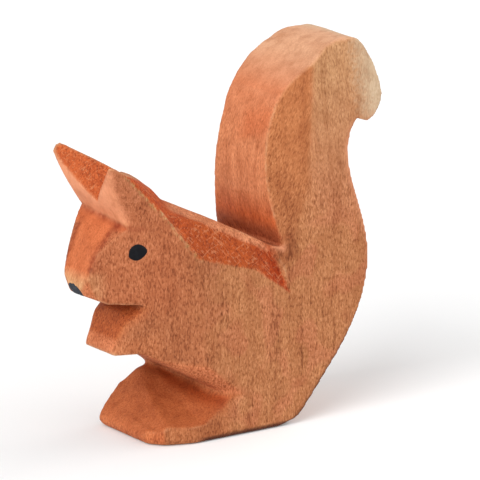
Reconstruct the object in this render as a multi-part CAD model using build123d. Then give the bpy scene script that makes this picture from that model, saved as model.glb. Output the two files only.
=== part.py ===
from build123d import *
import os

os.makedirs("parts", exist_ok=True)

# A squirrel sawn from one board and carved with a knife, facing -X with its left flank towards -Y.
# Lengths are in millimetres. A reach is measured forward from the middle of the base, a set is
# measured backward from it, and a height is measured up from the table. A setback, lead, rise or
# drop is measured from the place before it, and a share is a part of the height that it names.

# The board
board_thickness = 21.0

# Foot, behind the nose tip
toe_setback = 9.4
toe_height = 1.7
toe_undercut = 0.5
toe_shoulder_setback = 1.9
toe_shoulder_rise = 2.15
instep_hollow = 0.15

# Gap between the foot and the paws
gap_depth = 8.2
gap_rise = 6.15

# Paws and forearms
paw_setback = 4.65
paw_rise = 5.8
paw_underside_length = 4.6
paw_front_height = 1.3
forearm_setback = 2.7
forearm_rise = 6.7
chin_apex_setback = 2.55
chin_rise = 1.7

# Head and ears, with the left ear trimmed lower from its tip to a share of the way down the nape
nose_reach = 27.7
jaw_setback = 3.7
jaw_rise = 0.6
nose_base_setback = 0.35
nose_base_rise = 1.5
nose_rise = 1.5
muzzle_setback = 0.7
muzzle_rise = 3.2
forehead_setback = 1.9
forehead_rise = 4.4
brow_setback = 3.0
brow_rise = 4.2
brow_slant = 1.8
ear_lead = 4.1
ear_rise = 10.35
ear_front_arch = 0.5
ear_tip_round = 1.3
left_ear_trim = 1.0
left_ear_trim_share = 0.3
nape_crown_setback = 5.2
nape_crown_drop = 2.5
nape_setback = 6.7
nape_drop = 5.85
nape_arch = 0.45

# Back and tail root
back_end_height = 31.5
back_arch = 0.3
root_notch_length = 2.1
root_notch_drop = 0.5
root_overhang_lead = 0.8
root_overhang_rise = 2.1

# Tail, with heights as shares of its rise from the end of the back to the crest
tail_crest_height = 65.0
tail_root_lean = 0.2
tail_front_set = 5.7
tail_front_share = 0.284
tail_lean_setback = 0.95
tail_lean_share = 0.582
tail_shoulder_setback = 3.6
tail_shoulder_share = 0.79
tail_crown_setback = 5.4
tail_crown_drop = 2.6
tail_crest_setback = 6.6
crest_end_setback = 2.2
crest_end_drop = 0.6
crest_end_fall = 0.6
hook_shoulder_setback = 2.45
hook_shoulder_share = 0.872
hook_back_setback = 1.7
hook_back_share = 0.71
hook_belly_lead = 0.8
hook_belly_share = 0.63
hook_tip_lead = 2.5
hook_tip_share = 0.57
hook_throat_lead = 2.2
hook_throat_share = 0.591
tail_waist_depth = 15.2
tail_waist_share = 0.397

# Haunch and base, with heights as shares of the height of the end of the back
hip_setback = 1.4
hip_share = 1.219
haunch_setback = 2.5
haunch_share = 0.902
rump_lead = 2.1
rump_share = 0.578
heel_lead = 6.5
heel_share = 0.265
heel_base_lead = 4.5
heel_base_share = 0.092
base_end_lead = 4.7
base_round_height = 0.9

# Half widths of the front of the figure, which narrows towards the nose, the paws and the toes
taper_slope = 0.374
toe_half_width = 8.1
toe_side_height = 4.5
paw_half_width = 4.4
brow_half_width = 6.5
ear_half_width = 9.3
nose_half_width = 1.9
nose_facet_length = 2.0
nose_facet_height = 3.4
nose_ridge_half_width = 0.2

# Mouth of the gap above the foot, which the knife opened across to the left flank
gap_flare_half_width = 8.0
gap_mouth_setback = 5.3
gap_mouth_drop = 3.0
foot_side_lead = 0.7
foot_side_drop = 6.9
foot_scoop_length = 2.0
toe_facet_drop = 1.5

# Facets on the left alone, along the lower edge of the belly and off the corner of the toes
belly_rear_lead = 0.6
belly_rear_rise = 2.2
belly_front_setback = 2.45
belly_front_rise = 3.9
belly_facet_slope = 0.8
toe_corner_width = 2.2
toe_corner_length = 2.6

# Mouth of the cut under the chin
chin_flare_half_width = 3.0
chin_flare_outer_half_width = 7.0
chin_mouth_drop = 1.1

# V cut between the ears
ear_cut_lead = 0.8
ear_cut_rise = 2.1
ear_cut_length = 4.6
ear_cut_climb = 4.0
ear_cut_slope = 1.2

# Knife facets along the nape and the back
nape_facet_ear_setback = 2.7
nape_facet_ear_drop = 3.45
saddle_knee_setback = 4.4
saddle_knee_drop = 10.0
nape_facet_slope = 1.4
saddle_turn_lead = 7.35
saddle_turn_rise = 5.1
saddle_end_setback = 2.9
saddle_end_share = 0.737
saddle_facet_slope = 0.42
back_top_half_width = 8.0
back_crown_slope = 2.6

# Long facet down the front of the tail, and the thinning of the tail towards its crest
tail_facet_setback = 5.4
tail_facet_share = 0.164
tail_facet_lean = 0.37
tail_facet_left_slope = 0.42
tail_facet_right_slope = 0.37
tail_thinning_left_share = 0.254
tail_thinning_left_slope = 0.1
tail_thinning_right_share = 0.65
tail_thinning_right_slope = 0.32

# Painted dabs
paint_thickness = 0.2
eye_setback = 2.35
eye_drop = 5.95
eye_length = 2.8
eye_width = 2.9
nose_patch_width = 4.4
nose_patch_height = 1.9

# Room that the carving cuts take outside the wood
knife_room = 2.0

# Places on the foot, paws and head that follow from the sizes
toe_reach = nose_reach - toe_setback
toe_shoulder_reach = toe_reach - toe_shoulder_setback
toe_shoulder_height = toe_height + toe_shoulder_rise
gap_apex_reach = toe_shoulder_reach - gap_depth
gap_apex_height = toe_shoulder_height + gap_rise
paw_reach = nose_reach - paw_setback
paw_underside_height = gap_apex_height + paw_rise
forearm_reach = paw_reach - forearm_setback
forearm_height = paw_underside_height + forearm_rise
chin_apex_reach = forearm_reach - chin_apex_setback
chin_apex_height = forearm_height + chin_rise
jaw_reach = nose_reach - jaw_setback
jaw_height = chin_apex_height + jaw_rise
nose_base_height = jaw_height + nose_base_rise
nose_height = nose_base_height + nose_rise
muzzle_reach = nose_reach - muzzle_setback
muzzle_height = nose_height + muzzle_rise
forehead_reach = muzzle_reach - forehead_setback
forehead_height = muzzle_height + forehead_rise
brow_reach = forehead_reach - brow_setback
brow_height = forehead_height + brow_rise
ear_tip_reach = brow_reach + ear_lead
ear_tip_height = brow_height + ear_rise
nape_crown_reach = ear_tip_reach - nape_crown_setback
nape_crown_height = ear_tip_height - nape_crown_drop
nape_reach = nape_crown_reach - nape_setback
nape_height = nape_crown_height - nape_drop
ear_cut_reach = brow_reach + ear_cut_lead
ear_cut_height = brow_height + ear_cut_rise
nape_facet_ear_reach = ear_tip_reach - nape_facet_ear_setback
nape_facet_ear_height = ear_tip_height - nape_facet_ear_drop
saddle_knee_reach = nape_reach - saddle_knee_setback
saddle_knee_height = nape_height - saddle_knee_drop
eye_reach = brow_reach - eye_setback
eye_height = brow_height - eye_drop

# Places on the back, tail and haunch that follow from the sizes
tail_rise = tail_crest_height - back_end_height
tail_lean_set = tail_front_set + tail_lean_setback
tail_shoulder_set = tail_lean_set + tail_shoulder_setback
tail_crown_set = tail_shoulder_set + tail_crown_setback
tail_crest_set = tail_crown_set + tail_crest_setback
crest_end_set = tail_crest_set + crest_end_setback
hook_shoulder_set = crest_end_set + hook_shoulder_setback
hook_back_set = hook_shoulder_set + hook_back_setback
hook_belly_set = hook_back_set - hook_belly_lead
hook_tip_set = hook_belly_set - hook_tip_lead
hook_throat_set = hook_tip_set - hook_throat_lead
tail_waist_set = tail_front_set + tail_waist_depth
hip_set = tail_waist_set + hip_setback
haunch_set = hip_set + haunch_setback
rump_set = haunch_set - rump_lead
heel_set = rump_set - heel_lead
heel_base_set = heel_set - heel_base_lead
base_end_set = heel_base_set - base_end_lead
saddle_end_set = tail_front_set + saddle_end_setback
saddle_end_height = back_end_height * saddle_end_share
saddle_turn_set = saddle_end_set - saddle_turn_lead
saddle_turn_height = saddle_end_height + saddle_turn_rise
tail_facet_set = tail_front_set + tail_facet_setback

half_thickness = board_thickness / 2
outside = half_thickness + knife_room
figure_room = 4 * (tail_crest_height + hook_back_set + nose_reach)


def tail_height(share):
    """A height on the tail, as a share of its rise from the end of the back to the crest."""
    return back_end_height + share * tail_rise


def side_outline():
    """The sawn outline of the squirrel, walked from the toe over the head and tail to the heel."""
    toe = (-toe_reach, toe_height)
    toe_shoulder = (-toe_shoulder_reach, toe_shoulder_height)
    gap_apex = (-gap_apex_reach, gap_apex_height)
    instep = (
        -(toe_shoulder_reach + gap_apex_reach) / 2,
        (toe_shoulder_height + gap_apex_height) / 2 - instep_hollow,
    )
    paw_bottom = (-paw_reach, paw_underside_height)
    paw_front = (-paw_reach, paw_underside_height + paw_front_height)
    forearm = (-forearm_reach, forearm_height)
    chin_apex = (-chin_apex_reach, chin_apex_height)
    nose_base = (-(nose_reach - nose_base_setback), nose_base_height)
    brow = (-brow_reach, brow_height)
    ear_front = (-ear_tip_reach, ear_tip_height - ear_tip_round)
    ear_top = (-ear_tip_reach + ear_tip_round, ear_tip_height)
    ear_middle = ((brow[0] + ear_front[0]) / 2 - ear_front_arch, (brow[1] + ear_front[1]) / 2)
    nape_crown = (-nape_crown_reach, nape_crown_height)
    nape = (-nape_reach, nape_height)
    nape_middle = ((nape_crown[0] + nape[0]) / 2, (nape_crown[1] + nape[1]) / 2 + nape_arch)
    back_end = (tail_front_set, back_end_height)
    back_middle = (
        (tail_front_set - nape_reach) / 2,
        (back_end_height + nape_height) / 2 + back_arch,
    )
    root_notch = (tail_front_set + root_notch_length, back_end_height - root_notch_drop)
    tail_root = (root_notch[0] - root_overhang_lead, root_notch[1] + root_overhang_rise)
    crest = (tail_crest_set, tail_crest_height)
    crest_end = (crest_end_set, tail_crest_height - crest_end_drop)
    hook_back = (hook_back_set, tail_height(hook_back_share))
    hook_tip = (hook_tip_set, tail_height(hook_tip_share))
    hook_throat = (hook_throat_set, tail_height(hook_throat_share))
    heel_base = (heel_base_set, back_end_height * heel_base_share)
    base_end = (base_end_set, 0)
    base_front = (-(toe_reach - toe_undercut), 0)

    edges = [
        Polyline(base_front, toe, toe_shoulder),
        ThreePointArc(toe_shoulder, instep, gap_apex),
        Polyline(
            gap_apex,
            (-(paw_reach - paw_underside_length), paw_underside_height),
            paw_bottom,
            paw_front,
            forearm,
            chin_apex,
            (-jaw_reach, jaw_height),
            nose_base,
        ),
        Spline(
            nose_base,
            (-nose_reach, nose_height),
            (-muzzle_reach, muzzle_height),
            (-forehead_reach, forehead_height),
            brow,
        ),
        ThreePointArc(brow, ear_middle, ear_front),
        Polyline(ear_front, ear_top, nape_crown),
        ThreePointArc(nape_crown, nape_middle, nape),
        ThreePointArc(nape, back_middle, back_end),
        Polyline(back_end, root_notch, tail_root),
        Spline(
            tail_root,
            (tail_front_set, tail_height(tail_front_share)),
            (tail_lean_set, tail_height(tail_lean_share)),
            (tail_shoulder_set, tail_height(tail_shoulder_share)),
            (tail_crown_set, tail_crest_height - tail_crown_drop),
            crest,
            tangents=[(-tail_root_lean, 1), (1, 0)],
        ),
        Spline(crest, crest_end, tangents=[(1, 0), (1, -crest_end_fall)]),
        ThreePointArc(crest_end, (hook_shoulder_set, tail_height(hook_shoulder_share)), hook_back),
        ThreePointArc(hook_back, (hook_belly_set, tail_height(hook_belly_share)), hook_tip),
        Line(hook_tip, hook_throat),
        Spline(
            hook_throat,
            (tail_waist_set, tail_height(tail_waist_share)),
            (hip_set, back_end_height * hip_share),
            (haunch_set, back_end_height * haunch_share),
            (rump_set, back_end_height * rump_share),
            (heel_set, back_end_height * heel_share),
            heel_base,
        ),
        ThreePointArc(
            heel_base,
            ((heel_base_set + base_end_set) / 2, base_round_height),
            base_end,
        ),
        Line(base_end, base_front),
    ]
    return Plane.XZ * make_face(edges)


def sawn_board():
    """The outline sawn through the whole thickness of the board."""
    return extrude(side_outline(), amount=half_thickness, both=True)


def both_sides(cut):
    """A cut on the left flank together with its mirror image on the right flank."""
    return [cut, mirror(cut, about=Plane.XZ)]


def beyond_plane(first, second, third):
    """A large block on the plane through three points, on the side that they turn anticlockwise about."""
    start, along, across = Vector(*first), Vector(*second), Vector(*third)
    x_dir = along - start
    z_dir = x_dir.cross(across - start)
    seat = Plane(origin=start, x_dir=x_dir, z_dir=z_dir)
    corner = (Align.CENTER, Align.CENTER, Align.MIN)
    return seat * Box(figure_room, figure_room, figure_room, align=corner)


def span_block(low, high):
    """A box between two opposite corners."""
    size = [b - a for a, b in zip(low, high)]
    return Pos(*low) * Box(*size, align=(Align.MIN, Align.MIN, Align.MIN))


def flat_facet(corners):
    """A flat face through its corners."""
    return make_face(Polyline(*corners, close=True)).face()


def faceted_solid(first, second):
    """A solid between two flat rings with as many corners each, closed by triangles."""
    facets = [flat_facet(first), flat_facet(second)]
    for i in range(len(first)):
        j = (i + 1) % len(first)
        facets.append(flat_facet([first[i], first[j], second[j]]))
        facets.append(flat_facet([first[i], second[j], second[i]]))
    return Solid(Shell(facets))


def flare(inner, outer, inner_y, outer_y):
    """A cut that opens from an inner outline to an outer one, carried on a little past both."""
    def ring(y):
        share = (y - inner_y) / (outer_y - inner_y)
        return [
            (a[0] + share * (b[0] - a[0]), -y, a[1] + share * (b[1] - a[1]))
            for a, b in zip(inner, outer)
        ]

    return faceted_solid(ring(inner_y - knife_room / 2), ring(outside))


def front_taper():
    """The narrowing of the toes, paws and head, whittled off the left flank."""
    front = -(nose_reach + knife_room)

    def section(height, reach, half_width):
        def width_at(x):
            return half_width + taper_slope * (x + reach)

        rear = -reach + (outside - half_width) / taper_slope
        corners = [(front, -width_at(front)), (rear, -outside), (front, -outside)]
        return make_face(Polyline(*[(x, y, height) for x, y in corners], close=True))

    brow_at_ear = brow_half_width + taper_slope * (brow_reach - ear_tip_reach)
    ear_flare = (ear_half_width - brow_at_ear) / (ear_tip_height - brow_height)
    return loft(
        [
            section(-knife_room, toe_reach - toe_undercut, toe_half_width),
            section(toe_side_height, toe_reach - toe_undercut, toe_half_width),
            section(paw_underside_height, paw_reach, paw_half_width),
            section(brow_height, brow_reach, brow_half_width),
            section(ear_tip_height + knife_room, ear_tip_reach, ear_half_width + ear_flare * knife_room),
        ],
        ruled=True,
    )


def cheek_half_width(x, height):
    """Half the width of the head and paws where the taper leaves them, at one place on the cheek."""
    climb = (height - paw_underside_height) / (brow_height - paw_underside_height)
    at_paw = paw_half_width + taper_slope * (x + paw_reach)
    at_brow = brow_half_width + taper_slope * (x + brow_reach)
    return at_paw + climb * (at_brow - at_paw)


def nose_facet():
    """The small facet that takes the lower corner off the muzzle."""
    base_x = -(nose_reach - nose_base_setback)
    facet_top = nose_base_height + nose_facet_height
    facet_rear = base_x + nose_facet_length
    corner = (base_x, -nose_half_width, nose_base_height)
    upper = (-nose_reach, -cheek_half_width(-nose_reach, facet_top), facet_top)
    rear = (facet_rear, -cheek_half_width(facet_rear, jaw_height), jaw_height)
    block = span_block(
        (-(nose_reach + knife_room), -outside, (jaw_height + chin_apex_height) / 2),
        (-forearm_reach, -nose_ridge_half_width, muzzle_height + knife_room),
    )
    return beyond_plane(upper, corner, rear) & block


def brow_facet():
    """The forehead facet, cut deeper on the left so that the crease under the ears slants down."""
    ear_foot = (-brow_reach, 0, brow_height)
    ear_foot_left = (-brow_reach, -outside, brow_height)
    ear_front_height = ear_tip_height - ear_tip_round
    ear_front = beyond_plane(ear_foot, ear_foot_left, (-ear_tip_reach, 0, ear_front_height))
    left_end_x = -brow_reach + brow_slant * ear_lead / (ear_front_height - brow_height)
    left_end = (left_end_x, -brow_half_width, brow_height - brow_slant)
    right_end = (-brow_reach, brow_half_width, brow_height)
    forehead = beyond_plane(right_end, (-forehead_reach, 0, forehead_height), left_end)
    room = span_block((-(nose_reach + knife_room), -outside, nose_height), (0, outside, brow_height))
    return forehead & ear_front & room


def gap_mouth(start):
    """The gap above the foot, opened towards the left flank from a start left of the middle."""
    front = -(paw_reach + knife_room)
    under_paw = (-(paw_reach - paw_underside_length), paw_underside_height)
    instep_slope = (gap_apex_height - toe_shoulder_height) / (toe_shoulder_reach - gap_apex_reach)
    scoop = (
        -(gap_apex_reach + foot_scoop_length),
        gap_apex_height - instep_slope * foot_scoop_length,
    )
    inner = [
        (front, paw_underside_height),
        under_paw,
        (-gap_apex_reach, gap_apex_height),
        scoop,
        (-toe_shoulder_reach, toe_shoulder_height),
        (front, toe_shoulder_height),
    ]
    outer = [
        (front, paw_underside_height),
        under_paw,
        (-(gap_apex_reach - gap_mouth_setback), gap_apex_height - gap_mouth_drop),
        (-(gap_apex_reach + foot_side_lead), gap_apex_height - foot_side_drop),
        (-toe_shoulder_reach, toe_shoulder_height - toe_facet_drop),
        (front, toe_shoulder_height - toe_facet_drop),
    ]
    return flare(inner, outer, start, half_thickness)


def belly_facet():
    """The lower edge of the belly, whittled off above the gap on the left flank."""
    mouth_apex = (-(gap_apex_reach - gap_mouth_setback), gap_apex_height - gap_mouth_drop)
    rear = (mouth_apex[0] - belly_rear_lead, mouth_apex[1] + belly_rear_rise)
    front_x = -(paw_reach - paw_underside_length) + belly_front_setback
    front = (front_x, paw_underside_height + belly_front_rise)
    facet = leaning_cut([rear, front], 0, belly_facet_slope, half_thickness)
    above_foot = beyond_plane(
        (-gap_apex_reach, gap_flare_half_width, gap_apex_height),
        (-paw_reach, 0, gap_apex_height),
        (mouth_apex[0], -half_thickness, mouth_apex[1]),
    )
    room = span_block((-paw_reach, -outside, 0), (0, 0, paw_underside_height))
    return facet & above_foot & room


def toe_corner():
    """The corner of the toes, whittled off on the left."""
    front = (-toe_reach, toe_corner_width - toe_half_width)
    rear = (toe_corner_length - toe_reach, -(toe_half_width + taper_slope * toe_corner_length))
    corner = beyond_plane((*front, 0), (*rear, 0), (*front, toe_shoulder_height))
    room = span_block((-(toe_reach + knife_room), -outside, -knife_room), (0, 0, toe_shoulder_height))
    return corner & room


def chin_mouth():
    """The flared mouth of the cut between the chin and the forearms, on the left flank."""
    front = -(nose_reach + knife_room)
    inner = [
        (front, jaw_height),
        (-jaw_reach, jaw_height),
        (-chin_apex_reach, chin_apex_height),
        (-forearm_reach, forearm_height),
        (-paw_reach, paw_underside_height + paw_front_height),
        (front, paw_underside_height + paw_front_height),
    ]
    outer = [
        (front, jaw_height),
        (-jaw_reach, jaw_height),
        (-chin_apex_reach, chin_apex_height),
        (-forearm_reach, forearm_height - chin_mouth_drop),
        (-paw_reach, paw_underside_height + paw_front_height),
        (front, paw_underside_height + paw_front_height),
    ]
    return flare(inner, outer, chin_flare_half_width, chin_flare_outer_half_width)


def ear_cut():
    """The V cut that parts the ears, its bottom climbing from the brow to the nape."""
    climb = ear_cut_climb / ear_cut_length

    def section(x):
        bottom = ear_cut_height + climb * (x + ear_cut_reach)
        top = bottom + ear_cut_slope * outside
        roof = top + outside
        corners = [(0, bottom), (outside, top), (outside, roof), (-outside, roof), (-outside, top)]
        return make_face(Polyline(*[(x, y, z) for y, z in corners], close=True))

    return loft([section(-(ear_tip_reach + knife_room)), section(-nape_reach)], ruled=True)


def left_ear_tip():
    """The top of the left ear, trimmed a little lower than the right one."""
    end_x = -nape_crown_reach + left_ear_trim_share * nape_setback
    end_height = nape_crown_height - left_ear_trim_share * nape_drop
    tip = (-ear_tip_reach, 0, ear_tip_height - left_ear_trim)
    room = span_block(
        (-(ear_tip_reach + knife_room), -outside, brow_height),
        (end_x, 0, ear_tip_height + knife_room),
    )
    return beyond_plane(tip, (end_x, 0, end_height), (tip[0], outside, tip[2])) & room


def arris_side(rear):
    """A block on the back's side, or the tail's side, of the edge where the back facet stops at the tail."""
    low = (saddle_end_set, -outside, saddle_end_height)
    high = (tail_front_set, -outside, back_end_height)
    level = (saddle_end_set, 0, saddle_end_height)
    if rear:
        return beyond_plane(low, level, high)
    return beyond_plane(low, high, level)


def leaning_cut(low_line, drop, slope, start_half_width):
    """Wood outside a plane that starts at a line on the flank and leans in above it."""
    (x1, z1), (x2, z2) = low_line
    run = Vector(x2 - x1, 0, z2 - z1).normalized()
    up = Vector(-run.Z, 0, run.X)
    first = Vector(x1, -start_half_width, z1) + up * drop
    second = first + run * figure_room
    inward = first + up + Vector(0, slope, 0)
    return beyond_plane(tuple(first), tuple(second), tuple(inward))


def back_facets():
    """The nape facet, the saddle facet and the crown of the back, on the left flank."""
    ear = (-nape_facet_ear_reach, nape_facet_ear_height)
    knee = (-saddle_knee_reach, saddle_knee_height)
    turn = (saddle_turn_set, saddle_turn_height)
    nape_line = [ear, knee]
    saddle_line = [knee, turn]
    end_line = [turn, (saddle_end_set, saddle_end_height)]
    room = span_block(
        (-(ear_tip_reach + knife_room), -outside, 0),
        (hook_back_set, 0, ear_tip_height + knife_room),
    )
    nape = leaning_cut(nape_line, 0, nape_facet_slope, half_thickness)
    saddle = leaning_cut(saddle_line, 0, saddle_facet_slope, half_thickness)
    saddle += leaning_cut(end_line, 0, saddle_facet_slope, half_thickness)
    top_rise = (half_thickness - back_top_half_width) / saddle_facet_slope
    crown = leaning_cut(saddle_line, top_rise, back_crown_slope, back_top_half_width)
    before_tail = arris_side(rear=False) & room
    return (nape & saddle & before_tail) + (crown & nape & before_tail)


def tail_facet(slope):
    """The long facet down the front of the tail, on the left flank."""
    facet_height = tail_height(tail_facet_share)
    low = (tail_facet_set, facet_height)
    high = (tail_facet_set + tail_facet_lean * figure_room, facet_height + figure_room)
    lean = leaning_cut([low, high], 0, slope, half_thickness)
    room = span_block((0, -outside, 0), (hook_back_set, 0, tail_crest_height + knife_room))
    return lean & arris_side(rear=True) & room


def tail_thinning(share, slope):
    """The taper that thins the tail towards its crest, on the left flank."""
    start = tail_height(share)
    level_line = [(0, start), (figure_room, start)]
    room = span_block(
        (0, -outside, start),
        (hook_back_set + knife_room, 0, tail_crest_height + knife_room),
    )
    return leaning_cut(level_line, 0, slope, half_thickness) & room


def carve():
    """The squirrel in bare wood."""
    wood = sawn_board()
    wood -= ear_cut()
    wood -= brow_facet()
    wood -= left_ear_tip()
    wood -= gap_mouth(-gap_flare_half_width)
    wood -= mirror(gap_mouth(gap_flare_half_width), about=Plane.XZ)
    wood -= belly_facet()
    wood -= toe_corner()
    wood -= tail_facet(tail_facet_left_slope)
    wood -= mirror(tail_facet(tail_facet_right_slope), about=Plane.XZ)
    wood -= tail_thinning(tail_thinning_left_share, tail_thinning_left_slope)
    right_thinning = tail_thinning(tail_thinning_right_share, tail_thinning_right_slope)
    wood -= mirror(right_thinning, about=Plane.XZ)
    for cut in (front_taper, nose_facet, chin_mouth, back_facets):
        for side in both_sides(cut()):
            wood -= side
    return wood


def eye_paint(wood, side):
    """A dab of paint that follows the cheek, on one side: -1 for the left and 1 for the right."""
    outline = Plane.XZ * (Pos(-eye_reach, eye_height) * Ellipse(eye_length / 2, eye_width / 2))
    column = extrude(outline, amount=-side * outside)
    raised = Pos(0, side * paint_thickness, 0) * wood
    return (raised & column) - wood


def nose_paint(wood):
    """A dab of paint that wraps the front of the muzzle tip."""
    middle = nose_base_height + nose_patch_height / 2
    dab = Ellipse(nose_patch_width / 2, nose_patch_height / 2)
    outline = Plane.YZ * (Pos(0, middle) * dab)
    column = extrude(outline, amount=-figure_room)
    raised = Pos(-paint_thickness, 0, 0) * wood
    front = span_block((-figure_room, -outside, 0), (-jaw_reach, outside, figure_room))
    return ((raised & column) & front) - wood


carved_body = carve()
pieces = {
    "carved_body": carved_body,
    "left_eye": eye_paint(carved_body, -1),
    "right_eye": eye_paint(carved_body, 1),
    "nose": nose_paint(carved_body),
}

boxes = [piece.bounding_box() for piece in pieces.values()]
front = min(box.min.X for box in boxes)
rear = max(box.max.X for box in boxes)
bottom = min(box.min.Z for box in boxes)
to_origin = Pos(-(front + rear) / 2, 0, -bottom)

for name, piece in pieces.items():
    export_step(to_origin * piece, f"parts/{name}.step")
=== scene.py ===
import math

import bpy
import numpy as np
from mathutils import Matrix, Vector, noise
from mathutils.bvhtree import BVHTree


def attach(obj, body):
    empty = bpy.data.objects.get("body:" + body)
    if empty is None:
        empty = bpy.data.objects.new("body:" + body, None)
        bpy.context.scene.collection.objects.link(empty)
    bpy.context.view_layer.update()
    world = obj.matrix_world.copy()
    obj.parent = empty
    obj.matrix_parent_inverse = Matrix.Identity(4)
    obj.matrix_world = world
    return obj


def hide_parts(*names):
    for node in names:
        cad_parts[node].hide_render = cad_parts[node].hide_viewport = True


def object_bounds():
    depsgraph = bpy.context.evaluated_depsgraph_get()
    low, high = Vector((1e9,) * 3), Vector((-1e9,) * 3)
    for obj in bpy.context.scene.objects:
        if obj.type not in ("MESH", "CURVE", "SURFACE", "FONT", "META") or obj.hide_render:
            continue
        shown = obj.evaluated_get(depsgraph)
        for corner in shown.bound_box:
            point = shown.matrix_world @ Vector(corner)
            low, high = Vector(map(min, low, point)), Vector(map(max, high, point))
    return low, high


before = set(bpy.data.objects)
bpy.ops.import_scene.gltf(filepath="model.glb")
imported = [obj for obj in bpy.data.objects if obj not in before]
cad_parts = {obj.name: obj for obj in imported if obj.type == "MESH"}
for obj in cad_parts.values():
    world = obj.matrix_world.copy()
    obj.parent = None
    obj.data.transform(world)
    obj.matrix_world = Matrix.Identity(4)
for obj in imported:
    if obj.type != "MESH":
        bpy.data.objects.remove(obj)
cad_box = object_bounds()

# Lengths that carry MM are in metres. All other places are in millimetres in the frame of the sawn
# outline, whose zero lies a little in front of the middle of the whole figure. The squirrel faces
# towards -x, and the photograph shows the side of -y.
MM = 0.001
OUTLINE_SHIFT = 0.348
FIGURE_TOP = cad_box[1][2] / MM
VOXEL = 0.30 * MM

# Camera of the photograph
CAMERA_AZIMUTH = math.radians(-34.8)
CAMERA_ELEVATION = math.radians(14.0)
CAMERA_DISTANCE = 0.600
CAMERA_LENS = 265.4
CAMERA_SENSOR = 36.0
CAMERA_TARGET = Vector((5.152 * MM, 0.0, 30.68 * MM))

# Stain on each part of the carving, some of it deepened with painted shade, as linear red, green and blue
FLANK = (0.474, 0.185, 0.072)
CHEEK = (0.434, 0.134, 0.053)
SALMON = (0.500, 0.168, 0.074)
BELLY = (0.388, 0.126, 0.049)
FACE = (0.560, 0.149, 0.051)
MUZZLE = (0.660, 0.345, 0.162)
EAR_FRONT = (0.728, 0.287, 0.146)
EAR_INNER = (0.480, 0.095, 0.022)
NAPE = (0.470, 0.072, 0.012)
SADDLE = (0.398, 0.068, 0.010)
SADDLE_END = (0.385, 0.043, 0.004)
BACK_TOP = (0.610, 0.215, 0.098)
# Painted shade with pooled stain, in the recess at the root of the tail
TAIL_ROOT_SHADE_AND_STAIN = (0.340, 0.080, 0.028)
TAIL_FRONT_LOW = (0.540, 0.122, 0.035)
TAIL_FRONT_MIDDLE = (0.600, 0.212, 0.090)
TAIL_FRONT_HIGH = (0.608, 0.205, 0.091)
TAIL_CROWN = (0.650, 0.335, 0.192)
TAIL_BAND_LOW = (0.350, 0.116, 0.041)
TAIL_BAND_HIGH = (0.475, 0.165, 0.058)
TAIL_SIDE_LOW = (0.484, 0.182, 0.079)
TAIL_SIDE_HIGH = (0.518, 0.254, 0.115)
TAIL_TIP = (0.565, 0.400, 0.256)
FOOT_TOP = (0.406, 0.103, 0.031)
# Painted shade with some pooled stain, in the crease under the flank's edge above the foot
FOOT_CREASE_SHADE_AND_STAIN = (0.290, 0.046, 0.007)
FOOT_FRONT = (0.505, 0.138, 0.046)
FOOT_SIDE = (0.415, 0.138, 0.050)
# Darker stain, deepened with painted shade from the head above
FOREARM_STAIN_AND_SHADE = (0.381, 0.088, 0.023)
PAW = (0.530, 0.165, 0.066)
PAW_SIDE = (0.470, 0.156, 0.061)
# Red stain, and at the end of the brow crease painted shade under the ear as well
RED_STAIN_AND_SHADE = (0.240, 0.034, 0.009)
OLIVE = (0.460, 0.270, 0.100)
BACK_RIM = (0.640, 0.262, 0.138)
# A painted shadow line where the bottom edge meets the floor, carried up the heel
BASE_SHADOW_LINE = (0.090, 0.022, 0.009)

# What the grain does to the stain: worn wood, pooled stain with painted shade in hollows, and dark and
# pale fibres
WORN = (0.680, 0.380, 0.200)
# Pooled stain, and with it painted shade, in hollows
POOLED_STAIN_AND_SHADE = (0.180, 0.033, 0.010)
DEEPER = (0.78, 0.68, 0.60)
DARK_FIBRE = (0.56, 0.44, 0.36)
PALE_FIBRE = (1.28, 1.46, 1.62)
HAIR = (0.640, 0.270, 0.120)

# Zones of the figure, by their ends in x and in z. A pair fades from 0 at the first place to 1 at the
# second. A triple is 1 between its first two places, and the third says how softly it ends.
ZONES = {
    "muzzle": ((-30.0, -20.5, 1.0), (25.5, 37.0, 0.8)),
    "toes": ((-20.0, -9.5, 1.5), (-2.0, 6.0, 0.8)),
    "ears": ((-28.0, -15.0, 1.0), (40.5, 52.0, 0.8)),
    "chin": ((-23.5, -14.0, 1.0), (21.0, 25.5, 0.6)),
    "paw": ((-25.0, -17.0, 1.0), (14.5, 21.0, 0.8)),
    "tail_root": ((3.0, 9.5, 1.0), (29.5, 36.0, 1.0)),
    "tail_crest": ((6.0, 23.0, 2.0), (53.0, 56.0)),
    "ear_side": ((-27.0, -17.0, 1.0), (38.5, 48.0, 1.0)),
    "arm": ((-23.0, -14.5, 1.0), (16.5, 24.0, 0.8)),
    "far_rim": ((3.0, 4.0), (47.0, 52.0)),
    "belly": ((-2.0, -12.0), (4.0, 9.0)),
    "cheek": ((-9.0, -16.0), (20.0, 26.0)),
    "paw_side": ((-14.5, -17.0), (13.5, 18.5, 1.2)),
    "muzzle_side": ((-23.5, -26.5), (26.0, 30.3, 0.8)),
    "foot_crease": ((0.5, -0.5), (12.0, 10.5)),
    "base_shadow_line": ((-11.0, -8.0), (1.1, 0.6)),
    "tail_side": ((9.0, 16.0), (30.0, 42.0)),
    "tail_recess": ((5.9, 9.5, 0.5), (29.0, 33.2, 0.6)),
    "recess_end": ((6.5, 10.0, 0.5), (29.0, 32.5, 0.6)),
    "tail_tip": ((21.5, 27.5), (48.5, 53.0)),
    "face_edge": ((-20.0, -21.0), (30.5, 37.5, 0.8)),
    "upper_tail": ((6.0, 10.0), (38.0, 46.0)),
    "lower_flank": ((-13.0, -4.0), (38.0, 30.0)),
}

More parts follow.
